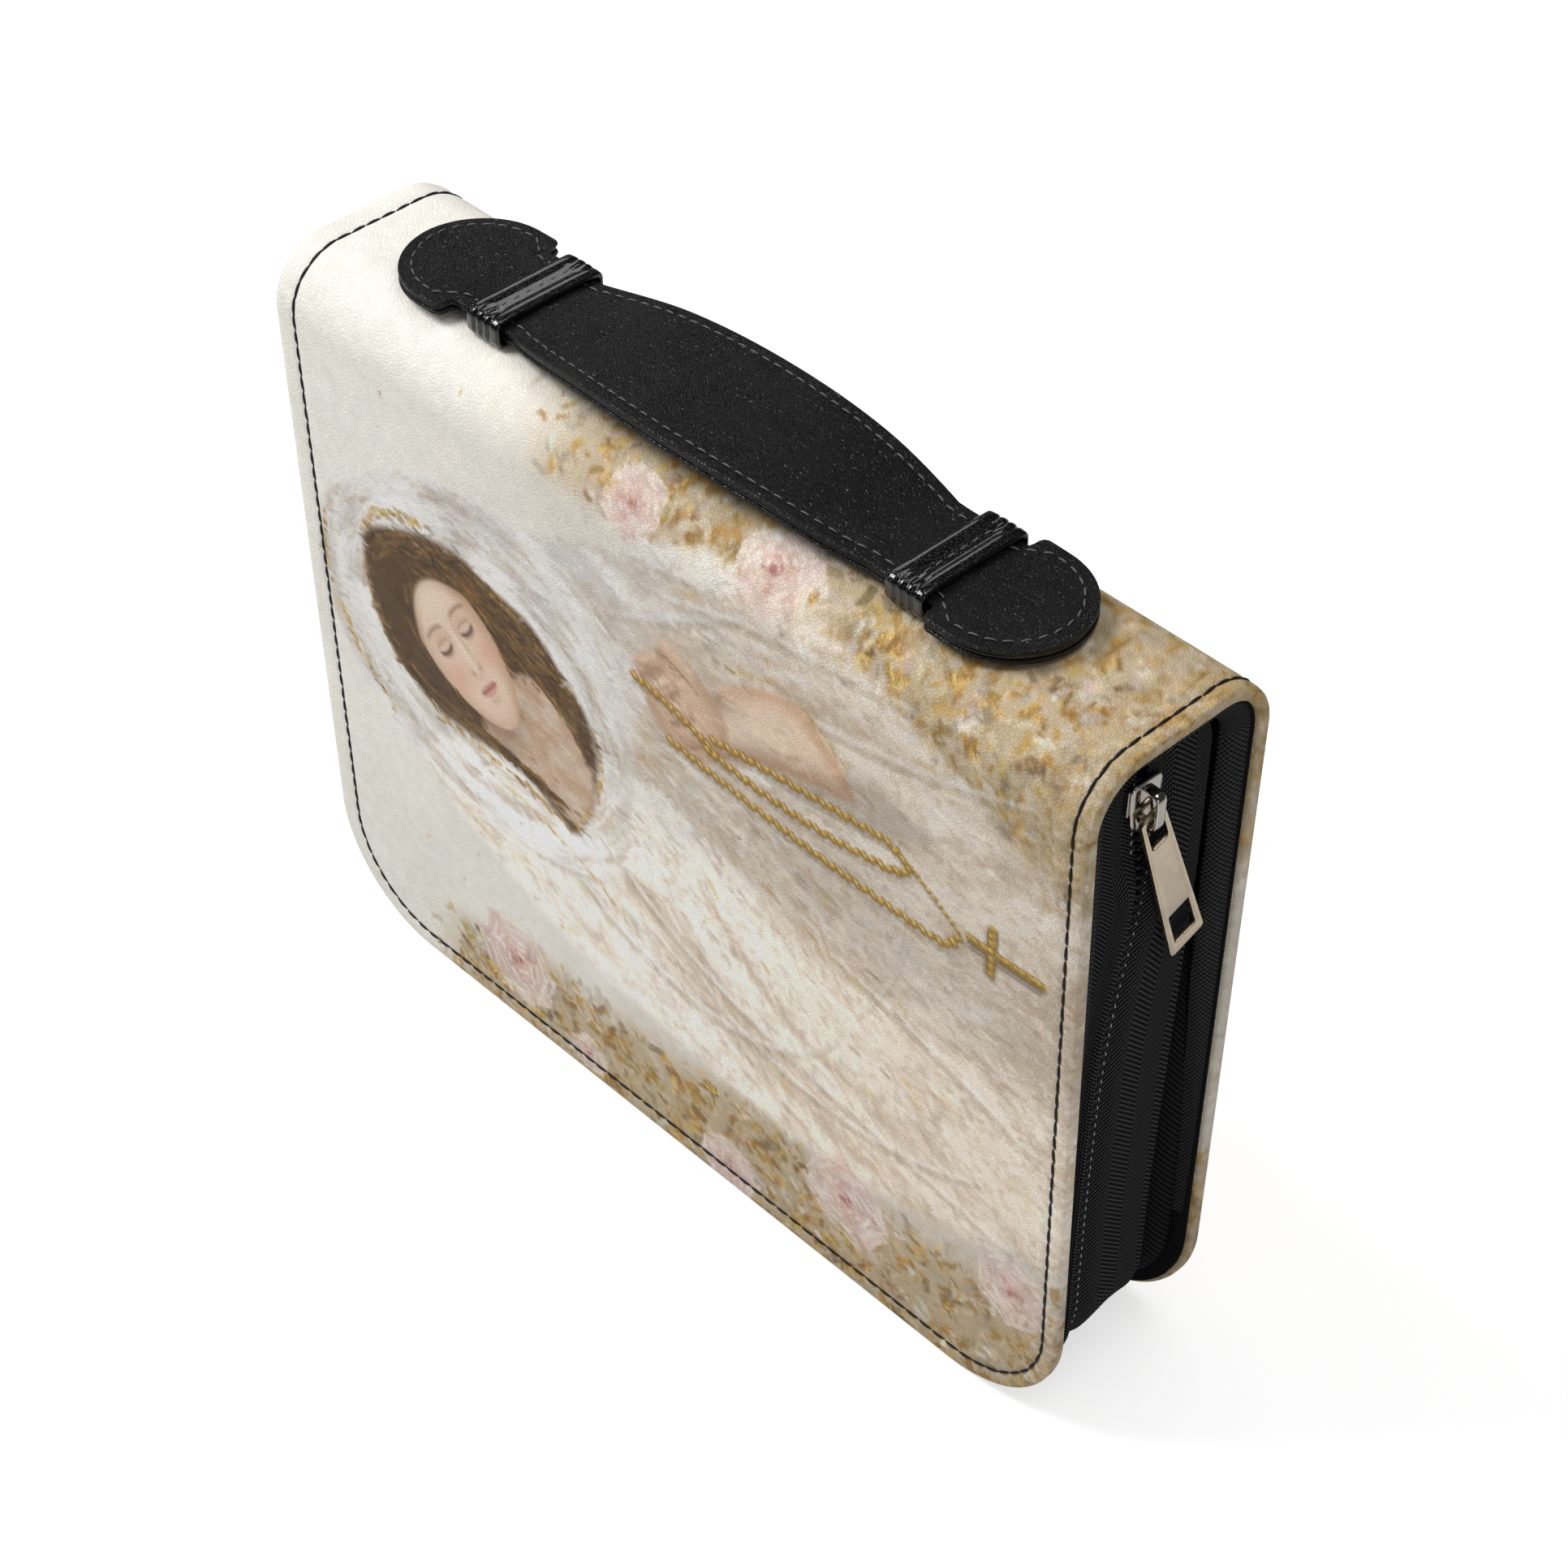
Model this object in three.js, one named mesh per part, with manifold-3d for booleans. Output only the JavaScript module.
// A hardback prayer book inside its zip-around carrying case, standing on its fore-edge with the spine up.
// Millimetres. +X runs along the spine towards the tail, -Y is the front cover, +Z is up.
// The origin is on the resting plane, under the middle of the case.
import * as THREE from "three";
import * as BufferGeometryUtils from "three/addons/utils/BufferGeometryUtils.js";
import Module from "manifold-3d";

const wasm = await Module();
wasm.setup();

// ---- driving dimensions ----
const caseLength = 250; // along the spine
const caseHeight = 200; // fore-edge to spine
const caseThickness = 54; // across the spine
const bendRadius = 15; // outer radius where a cover turns into the spine
const cornerRadius = 32; // fore-edge corners of the covers
const coverLean = THREE.MathUtils.degToRad(1); // each cover leans in towards the fore-edge
const gap = 0.3; // between pieces that touch

// layers of the case wall, from the outside in
const leather = 1.0;
const board = 1.6;
const lining = 0.8;
const wall = leather + gap + board + gap + lining;

// zip around the head, fore-edge and tail
const zipInset = 6.5; // cover edge to the middle of the coil
const zipTilt = THREE.MathUtils.degToRad(2.0); // the zip drifts towards the front cover on its way down
const zipTopY = -5.0; // where the zip plane meets the level of the bend centres
const coilWidth = 2.4;
const coilThickness = 1.8;
const coilGap = 1.1; // room for the slider's divider
const tapeThickness = 1.0;
const rearTapeWidth = 13.5;
const tapeReach = 40; // tapes are drawn this far out, then trimmed against a cover's lining
const zipTop = 1; // the zip ends this far above the bend centres
const pleatInset = 12; // how deep the gusset folds in beside the rear cover

// the book
const bookLength = 215;
const bookDepth = 163;
const bookBoard = 2.5;
const bookTop = 187; // spine edge of the boards
const leafLength = 210;
const leafDepth = 164;
const leafTop = 191;
const leafHalf = 14.4; // half of the text block
const leafParting = 0.6; // each half keeps this far off the middle, for the ribbon

// sleeves that hold the book's boards
const sleeve = 0.7;
const sleeveLength = 218;
const sleeveDepth = 76;
const sleeveFoot = 22; // above the panel's fore-edge

// handle
const strapHalf = 18; // half width of the rounded ends
const strapBelly = 20.8; // pulls the middle out to a leaf shape, 19 at its widest
const neckHalf = 13.6; // half width through the keepers
const shoulderX = 73.6; // where a rounded end steps in to the neck
const waistX = 54; // where the neck starts to widen
const bellyX = 26; // half length over which the middle stays wide
const endStraight = 7;
const strapShift = -2.4; // at rest the strap lies a little towards the head
const strapLayer = 0.9;
const strapStack = 3 * strapLayer + 2 * gap;
const keeperX = 64;
const keeperWidth = 10.5;
const keeperWall = 1.2;
const keeperSidePlay = 0.7; // between the neck and the keeper, each side
const keeperTopPlay = 0.8;
const keeperRadius = 2.2;
const slotRadius = 0.9;

const halfLength = caseLength / 2;
const bendY = caseThickness / 2 - bendRadius;
const bendZ = caseHeight - bendRadius;
const panelDepth = (caseHeight - bendRadius - bendRadius * Math.sin(coverLean)) / Math.cos(coverLean);
const coilX = halfLength - zipInset;

// ---- materials ----
const finish = (color, roughness, metalness = 0) =>
  new THREE.MeshStandardMaterial({ color, roughness, metalness });
const printedLeather = finish(0xd9cfbd, 0.55);
const greyBoard = finish(0x9a948a, 0.9);
const blackCloth = finish(0x17171a, 0.9);
const blackLeather = finish(0x1b1b1d, 0.42);
const glossLeather = finish(0x121213, 0.22);
const silverMetal = finish(0xb9b2a6, 0.25, 1);
const coilPlastic = finish(0x0e0e10, 0.5);
const bookCloth = finish(0x5a1f26, 0.6);
const paper = finish(0xf3ead6, 0.8);
const ribbonSatin = finish(0x9c1c28, 0.4);
const bandThread = finish(0xc9a24a, 0.6);

const model = new THREE.Group();

function add(parent, name, geometry, material) {
  const mesh = new THREE.Mesh(geometry, material);
  mesh.name = name;
  parent.add(mesh);
  return mesh;
}

// ---- solids ----
function toSolid(geometry) {
  const bare = geometry.clone();
  bare.deleteAttribute("normal");
  bare.deleteAttribute("uv");
  const merged = BufferGeometryUtils.mergeVertices(bare, 1e-4);
  return new wasm.Manifold(
    new wasm.Mesh({
      numProp: 3,
      vertProperties: new Float32Array(merged.attributes.position.array),
      triVerts: new Uint32Array(merged.index.array),
    }),
  );
}

function toGeometry(solid) {
  const mesh = solid.getMesh();
  const geometry = new THREE.BufferGeometry();
  geometry.setAttribute("position", new THREE.BufferAttribute(mesh.vertProperties, 3));
  geometry.setIndex(new THREE.BufferAttribute(mesh.triVerts, 1));
  geometry.computeVertexNormals();
  return geometry;
}

function block(width, depth, height, x, y, z) {
  const geometry = new THREE.BoxGeometry(width, depth, height);
  geometry.translate(x, y, z);
  return geometry;
}

// a shape drawn in X and Z, given thickness between two values of Y
function plate(shape, lowY, highY, curveSegments = 8) {
  const geometry = new THREE.ExtrudeGeometry(shape, {
    depth: highY - lowY,
    bevelEnabled: false,
    curveSegments,
  });
  geometry.rotateX(Math.PI / 2);
  geometry.translate(0, highY, 0);
  return geometry;
}

// a shape drawn in Y and Z, given thickness between two values of X
function slice(shape, lowX, highX, curveSegments = 8) {
  const geometry = new THREE.ExtrudeGeometry(shape, {
    depth: highX - lowX,
    bevelEnabled: false,
    curveSegments,
  });
  geometry.rotateX(Math.PI / 2);
  geometry.rotateZ(Math.PI / 2);
  geometry.translate(lowX, 0, 0);
  return geometry;
}

// the cover's outline below the bend, moved in from its edge
function tracePanel(path, inset, top) {
  const x = halfLength - inset;
  const radius = cornerRadius - inset;
  const low = inset - panelDepth;
  path.moveTo(-x, top);
  path.lineTo(-x, low + radius);
  path.absarc(-x + radius, low + radius, radius, Math.PI, 1.5 * Math.PI, false);
  path.lineTo(x - radius, low);
  path.absarc(x - radius, low + radius, radius, 1.5 * Math.PI, 2 * Math.PI, false);
  path.lineTo(x, top);
}

function panelShape(inset, top = 0) {
  const shape = new THREE.Shape();
  tracePanel(shape, inset, top);
  return shape;
}

// a band that follows three sides of the cover, open towards the spine
function bandShape(inset, width, top) {
  const shape = new THREE.Shape();
  tracePanel(shape, inset, top);
  const x = halfLength - inset - width;
  const radius = cornerRadius - inset - width;
  const low = inset + width - panelDepth;
  shape.lineTo(x, top);
  shape.lineTo(x, low + radius);
  shape.absarc(x - radius, low + radius, radius, 2 * Math.PI, 1.5 * Math.PI, true);
  shape.lineTo(-x + radius, low);
  shape.absarc(-x + radius, low + radius, radius, 1.5 * Math.PI, Math.PI, true);
  shape.lineTo(-x, top);
  return shape;
}

// ---- covers: side is -1 for the front and +1 for the rear ----
// In a cover's own frame the bend centre is the origin and depth counts inwards from the outer face.
function layer(side, shape, outerDepth, innerDepth) {
  const a = side * (bendRadius - outerDepth);
  const b = side * (bendRadius - innerDepth);
  return plate(shape, Math.min(a, b), Math.max(a, b));
}

function coverFrame(side) {
  const group = new THREE.Group();
  group.position.set(0, side * bendY, bendZ);
  group.rotation.x = -side * coverLean;
  model.add(group);
  group.updateMatrixWorld(true);
  return group;
}

// leather panel whose edge is turned in over the board and the lining
function leatherPanel(side) {
  const outer = toSolid(layer(side, panelShape(0), 0, wall));
  const pocket = toSolid(layer(side, panelShape(leather, 1), leather, wall + 1));
  return toGeometry(outer.subtract(pocket));
}

function sleevePanel(side) {
  const x = sleeveLength / 2;
  const low = sleeveFoot - panelDepth;
  const outline = (inset, top) => {
    const shape = new THREE.Shape();
    shape.moveTo(-x + inset, low + inset);
    shape.lineTo(x - inset, low + inset);
    shape.lineTo(x - inset, top);
    shape.lineTo(-x + inset, top);
    return shape;
  };
  const nearDepth = wall + gap;
  const farDepth = nearDepth + gap + bookBoard + gap + sleeve;
  const outer = toSolid(layer(side, outline(0, low + sleeveDepth), nearDepth, farDepth));
  const room = toSolid(layer(side, outline(sleeve, low + sleeveDepth + 1), nearDepth - 1, farDepth - sleeve));
  return toGeometry(outer.subtract(room));
}

function bookBoardPanel(side) {
  const near = wall + gap + gap;
  const top = bookTop - bendZ;
  const depth = side * (bendRadius - near - bookBoard / 2);
  return block(bookLength, bookBoard, bookDepth, 0, depth, top - bookDepth / 2);
}

function buildCover(side, name) {
  const group = coverFrame(side);
  const boardDepth = leather + gap;
  add(group, `${name}_leather`, leatherPanel(side), printedLeather);
  add(group, `${name}_board`, layer(side, panelShape(boardDepth), boardDepth, boardDepth + board), greyBoard);
  add(group, `${name}_lining`, layer(side, panelShape(boardDepth), wall - lining, wall), blackCloth);
  add(group, `${name}_sleeve`, sleevePanel(side), blackCloth);
  add(group, `book_${name}_board`, bookBoardPanel(side), bookCloth);
  return group;
}

const frontCover = buildCover(-1, "front");
const rearCover = buildCover(1, "rear");

// ---- zip: tapes and coils stand in a plane of their own ----
const zipFrame = new THREE.Group();
zipFrame.position.set(0, zipTopY, bendZ);
zipFrame.rotation.x = -zipTilt;
model.add(zipFrame);
zipFrame.updateMatrixWorld(true);

const coilSide = coilGap / 2;
const tapeStart = coilSide + coilWidth + gap;
const tapeEnd = tapeStart + rearTapeWidth;

function zipBand(inset, thickness, lowY, highY) {
  return plate(bandShape(inset - thickness / 2, thickness, zipTop), lowY, highY);
}

// everything on the outer side of a cover's lining, in the frame of the zip
function coverSide(side, cover) {
  const reach = 60;
  const face = side * (bendRadius - wall - gap);
  const solid = block(2 * caseLength, reach, 3 * caseHeight, 0, face + (side * reach) / 2, 0);
  const toZip = zipFrame.matrixWorld.clone().invert().multiply(cover.matrixWorld);
  solid.applyMatrix4(toZip);
  return toSolid(solid);
}

const frontStrip = zipBand(zipInset, tapeThickness, -tapeReach, -tapeStart);
const rearStrip = zipBand(pleatInset, tapeThickness, tapeEnd + gap, tapeReach);
const frontTape = toSolid(frontStrip).subtract(coverSide(-1, frontCover));
const pleat = toSolid(rearStrip).subtract(coverSide(1, rearCover));
add(zipFrame, "front_zip_tape", toGeometry(frontTape), blackCloth);
add(zipFrame, "rear_zip_tape", zipBand(zipInset, tapeThickness, tapeStart, tapeEnd), blackCloth);
add(zipFrame, "rear_gusset", toGeometry(pleat), blackCloth);
const frontCoil = zipBand(zipInset, coilThickness, -coilSide - coilWidth, -coilSide);
const rearCoil = zipBand(zipInset, coilThickness, coilSide, coilSide + coilWidth);
add(zipFrame, "front_zip_coil", frontCoil, coilPlastic);
add(zipFrame, "rear_zip_coil", rearCoil, coilPlastic);

// ---- spine ----
function arcBand(side, outer, inner) {
  const centreY = side * bendY;
  const flat = Math.PI / 2;
  const end = side < 0 ? Math.PI + coverLean : -coverLean;
  const clockwise = side > 0;
  const shape = new THREE.Shape();
  shape.absarc(centreY, bendZ, outer, flat, end, clockwise);
  shape.lineTo(centreY + inner * Math.cos(end), bendZ + inner * Math.sin(end));
  shape.absarc(centreY, bendZ, inner, end, flat, !clockwise);
  return shape;
}

// the bend stops short of both its neighbours
function trimmedBend(geometry, side) {
  const margin = gap / 2;
  const deep = 40;
  const solid = toSolid(geometry);
  const spineCut = block(2 * caseLength, deep, deep, 0, side * (bendY + margin - deep / 2), caseHeight);
  const coverCut = block(2 * caseLength, 2 * deep, deep, 0, 0, margin - deep / 2);
  coverCut.rotateX(-side * coverLean);
  coverCut.translate(0, side * bendY, bendZ);
  return solid.subtract(toSolid(spineCut)).subtract(toSolid(coverCut));
}

function bendLeather(side) {
  const sheet = toSolid(slice(arcBand(side, bendRadius, bendRadius - leather), -halfLength, halfLength, 10));
  let solid = sheet;
  for (const end of [-1, 1]) {
    const low = end < 0 ? -halfLength : halfLength - leather;
    solid = solid.add(toSolid(slice(arcBand(side, bendRadius, bendRadius - wall), low, low + leather, 10)));
  }
  return toGeometry(trimmedBend(toGeometry(solid), side));
}

function bendLining(side) {
  const x = halfLength - leather - gap;
  const shape = arcBand(side, bendRadius - wall + lining, bendRadius - wall);
  return toGeometry(trimmedBend(slice(shape, -x, x, 10), side));
}

function spineLeather() {
  const width = 2 * bendY - gap;
  const outer = toSolid(block(caseLength, width, wall, 0, 0, caseHeight - wall / 2));
  const room = block(caseLength - 2 * leather, width + 2, wall, 0, 0, caseHeight - wall / 2 - leather);
  return toGeometry(outer.subtract(toSolid(room)));
}

const innerLength = caseLength - 2 * (leather + gap);
const innerWidth = 2 * bendY - gap;
const liningZ = caseHeight - wall + lining / 2;
const boardZ = caseHeight - leather - gap - board / 2;
add(model, "spine_leather", spineLeather(), printedLeather);
add(model, "spine_board", block(innerLength, innerWidth, board, 0, 0, boardZ), greyBoard);
add(model, "spine_lining", block(innerLength, innerWidth, lining, 0, 0, liningZ), blackCloth);
for (const [side, name] of [[-1, "front"], [1, "rear"]]) {
  add(model, `${name}_bend_leather`, bendLeather(side), printedLeather);
  add(model, `${name}_bend_lining`, bendLining(side), blackCloth);
}

// woven binding across the inside of the spine at both ends, where the zip tapes are sewn in
const bindingWidth = 7;
const bindingThickness = 0.7;
for (const [end, name] of [[-1, "head"], [1, "tail"]]) {
  const x = end * (halfLength - leather - gap - bindingWidth / 2);
  const z = caseHeight - wall - gap - bindingThickness / 2;
  add(model, `${name}_binding`, block(bindingWidth, innerWidth, bindingThickness, x, 0, z), blackCloth);
}

// ---- book spine, headbands, leaves and ribbon ----
const bookSpineWidth = 36;
const bookSpineThickness = 1.6;
const bandRadius = 1.1;
add(
  model,
  "book_spine",
  block(bookLength, bookSpineWidth, bookSpineThickness, 0, 0, leafTop + gap + bookSpineThickness / 2),
  bookCloth,
);
for (const [end, name] of [[-1, "head"], [1, "tail"]]) {
  const roll = new THREE.CylinderGeometry(bandRadius, bandRadius, 2 * leafHalf, 12);
  roll.translate(end * (leafLength / 2 + gap + bandRadius), 0, leafTop - bandRadius);
  add(model, `${name}_band`, roll, bandThread);
}

const leafThickness = leafHalf - leafParting;
const leafY = (leafHalf + leafParting) / 2;
const leafZ = leafTop - leafDepth / 2;
add(model, "front_leaves", block(leafLength, leafThickness, leafDepth, 0, -leafY, leafZ), paper);
add(model, "rear_leaves", block(leafLength, leafThickness, leafDepth, 0, leafY, leafZ), paper);

const ribbonWidth = 10;
const ribbonThickness = 0.3;
const ribbonLength = 172;
const ribbonDrop = 7; // its top edge below the top of the leaves
const ribbonX = 40;
const ribbonY = leafParting - gap - ribbonThickness / 2;
const ribbonZ = leafTop - ribbonDrop - ribbonLength / 2;
const ribbon = block(ribbonWidth, ribbonThickness, ribbonLength, ribbonX, ribbonY, ribbonZ);
add(model, "ribbon_marker", ribbon, ribbonSatin);

// ---- handle strap: three layers, bowed up between the keepers ----
const strapLow = 1.9; // underside just outside the keepers, above the spine
function strapRise() {
  const rests = [
    [-104, 1.0],
    [-88, 1.5],
    [-72, strapLow],
    [-56, strapLow + 0.3],
    [-30, 5.0],
    [0, 6.0],
    [30, 5.0],
    [56, strapLow + 0.3],
    [72, strapLow],
    [88, 1.5],
    [104, 1.0],
  ];
  return new THREE.SplineCurve(rests.map(([x, z]) => new THREE.Vector2(x, caseHeight + z))).getPoints(40);
}

function strapOutline() {
  const straightX = shoulderX + endStraight;
  const shape = new THREE.Shape();
  shape.moveTo(shoulderX, strapHalf);
  shape.lineTo(straightX, strapHalf);
  shape.absarc(straightX, 0, strapHalf, Math.PI / 2, -Math.PI / 2, true);
  shape.lineTo(shoulderX, -strapHalf);
  shape.lineTo(shoulderX, -neckHalf);
  shape.lineTo(waistX, -neckHalf);
  shape.bezierCurveTo(bellyX, -strapBelly, -bellyX, -strapBelly, -waistX, -neckHalf);
  shape.lineTo(-shoulderX, -neckHalf);
  shape.lineTo(-shoulderX, -strapHalf);
  shape.lineTo(-straightX, -strapHalf);
  shape.absarc(-straightX, 0, strapHalf, -Math.PI / 2, Math.PI / 2, true);
  shape.lineTo(-shoulderX, strapHalf);
  shape.lineTo(-shoulderX, neckHalf);
  shape.lineTo(-waistX, neckHalf);
  shape.bezierCurveTo(-bellyX, strapBelly, bellyX, strapBelly, waistX, neckHalf);
  shape.lineTo(shoulderX, neckHalf);
  return shape;
}

function strapSheet(height) {
  const line = strapRise();
  const side = new THREE.Shape();
  line.forEach((p, i) => (i ? side.lineTo(p.x, p.y + height) : side.moveTo(p.x, p.y + height)));
  [...line].reverse().forEach((p) => side.lineTo(p.x, p.y + height + strapLayer));
  const arch = toSolid(plate(side, -2 * strapHalf, 2 * strapHalf));
  const outline = new THREE.ExtrudeGeometry(strapOutline(), {
    depth: caseHeight,
    bevelEnabled: false,
    curveSegments: 12,
  });
  outline.translate(0, 0, caseHeight / 2);
  return toGeometry(arch.intersect(toSolid(outline)));
}

const strap = new THREE.Group();
strap.position.x = strapShift;
model.add(strap);
add(strap, "handle_under_leather", strapSheet(0), blackLeather);
add(strap, "handle_core", strapSheet(strapLayer + gap), greyBoard);
add(strap, "handle_top_leather", strapSheet(2 * (strapLayer + gap)), blackLeather);

// ---- keepers: closed loops that the strap slides through ----
function keeperLoop() {
  const slotHalf = neckHalf + keeperSidePlay;
  const slotLow = caseHeight + gap + keeperWall;
  const slotHigh = caseHeight + strapLow + strapStack + keeperTopPlay;
  const rounded = (target, y, low, high, radius) => {
    target.moveTo(-y + radius, low);
    target.lineTo(y - radius, low);
    target.absarc(y - radius, low + radius, radius, -Math.PI / 2, 0, false);
    target.lineTo(y, high - radius);
    target.absarc(y - radius, high - radius, radius, 0, Math.PI / 2, false);
    target.lineTo(-y + radius, high);
    target.absarc(-y + radius, high - radius, radius, Math.PI / 2, Math.PI, false);
    target.lineTo(-y, low + radius);
    target.absarc(-y + radius, low + radius, radius, Math.PI, 1.5 * Math.PI, false);
    return target;
  };
  const outerHalf = slotHalf + keeperWall;
  const low = slotLow - keeperWall;
  const shape = rounded(new THREE.Shape(), outerHalf, low, slotHigh + keeperWall, keeperRadius);
  shape.holes.push(rounded(new THREE.Path(), slotHalf, slotLow, slotHigh, slotRadius));
  return slice(shape, -keeperWidth / 2, keeperWidth / 2, 4);
}

for (const [end, name] of [[-1, "head"], [1, "tail"]]) {
  const keeper = add(model, `${name}_keeper`, keeperLoop(), glossLeather);
  keeper.position.x = end * keeperX;
}

// ---- zip slider, bail and pull, in the zip's frame at the top of the tail side ----
const sliderZ = -5; // middle of the slider, below the bend centres
const sliderLength = 12;
const sliderTopHalf = 4.6;
const sliderFootHalf = 3.4;
const sliderShoulder = 4; // length of the straight sides near the top
const sliderCorner = 3;
const sliderPlate = 1.0;
const sliderRoom = 3.0; // between the two plates
const dividerHalf = 0.25;
const bailHalf = 1.2;
const bailThickness = 1.1;
const bailRoom = 2.7; // under the arch
const bailInset = 1.2; // its feet from the ends of the slider
const bailBend = 1.5; // outer rounding
const bailInnerBend = 0.6;

function sliderOutline() {
  const top = sliderLength / 2;
  const shape = new THREE.Shape();
  shape.moveTo(-sliderFootHalf, -top);
  shape.lineTo(sliderFootHalf, -top);
  shape.lineTo(sliderTopHalf, top - sliderShoulder);
  shape.quadraticCurveTo(sliderTopHalf, top, sliderTopHalf - sliderCorner, top);
  shape.lineTo(-sliderTopHalf + sliderCorner, top);
  shape.quadraticCurveTo(-sliderTopHalf, top, -sliderTopHalf, top - sliderShoulder);
  return shape;
}

function sliderBody() {
  const half = sliderRoom / 2;
  const outerPlate = toSolid(slice(sliderOutline(), half, half + sliderPlate, 4));
  const innerPlate = toSolid(slice(sliderOutline(), -half - sliderPlate, -half, 4));
  const divider = toSolid(block(sliderRoom + 1, 2 * dividerHalf, sliderLength - 3, 0, 0, 1));
  return toGeometry(outerPlate.add(innerPlate).add(divider));
}

function bailArch() {
  const half = sliderLength / 2 - bailInset;
  const inner = half - bailThickness;
  const high = bailRoom + bailThickness;
  const shape = new THREE.Shape();
  shape.moveTo(0, -half);
  shape.lineTo(high - bailBend, -half);
  shape.quadraticCurveTo(high, -half, high, -half + bailBend);
  shape.lineTo(high, half - bailBend);
  shape.quadraticCurveTo(high, half, high - bailBend, half);
  shape.lineTo(0, half);
  shape.lineTo(0, inner);
  shape.lineTo(bailRoom - bailInnerBend, inner);
  shape.quadraticCurveTo(bailRoom, inner, bailRoom, inner - bailInnerBend);
  shape.lineTo(bailRoom, -inner + bailInnerBend);
  shape.quadraticCurveTo(bailRoom, -inner, bailRoom - bailInnerBend, -inner);
  shape.lineTo(0, -inner);
  return plate(shape, -bailHalf, bailHalf, 4);
}

const slider = new THREE.Group();
slider.position.set(coilX, 0, sliderZ);
zipFrame.add(slider);
add(slider, "slider_body", sliderBody(), silverMetal);
const bail = add(slider, "slider_bail", bailArch(), silverMetal);
bail.position.x = sliderRoom / 2 + sliderPlate + gap;

// the pull hangs from its top bar, which lies under the bail
const pullLength = 47.5;
const pullThickness = 1.3;
const pullTopHalf = 3.4;
const pullFootHalf = 5.1;
const pullChamfer = 1;
const pullBar = 1.3;
const pullHang = 1.8; // its bar above the bail's lower foot
const pullSwing = THREE.MathUtils.degToRad(21); // it lies aslant on the gusset
const bailSlot = { half: 2.5, length: 8.8 };
const endSlot = { half: 3.2, low: 3.4, length: 10 };

function pullPlate() {
  const bar = pullBar / 2;
  const shape = new THREE.Shape();
  shape.moveTo(-pullTopHalf, bar);
  shape.lineTo(-pullFootHalf, bar - pullLength + pullChamfer);
  shape.lineTo(-pullFootHalf + pullChamfer, bar - pullLength);
  shape.lineTo(pullFootHalf - pullChamfer, bar - pullLength);
  shape.lineTo(pullFootHalf, bar - pullLength + pullChamfer);
  shape.lineTo(pullTopHalf, bar);
  const slot = (half, low, high) => {
    const path = new THREE.Path();
    path.moveTo(-half, low);
    path.lineTo(half, low);
    path.lineTo(half, high);
    path.lineTo(-half, high);
    return path;
  };
  shape.holes.push(slot(bailSlot.half, -bar - bailSlot.length, -bar));
  const low = bar - pullLength + endSlot.low;
  shape.holes.push(slot(endSlot.half, low, low + endSlot.length));
  return slice(shape, -pullThickness / 2, pullThickness / 2);
}

const pull = add(slider, "pull_tab", pullPlate(), silverMetal);
pull.position.x = sliderRoom / 2 + sliderPlate + gap + bailRoom / 2;
pull.position.z = -sliderLength / 2 + bailInset + bailThickness + pullHang;
pull.rotation.x = pullSwing;

export default model;
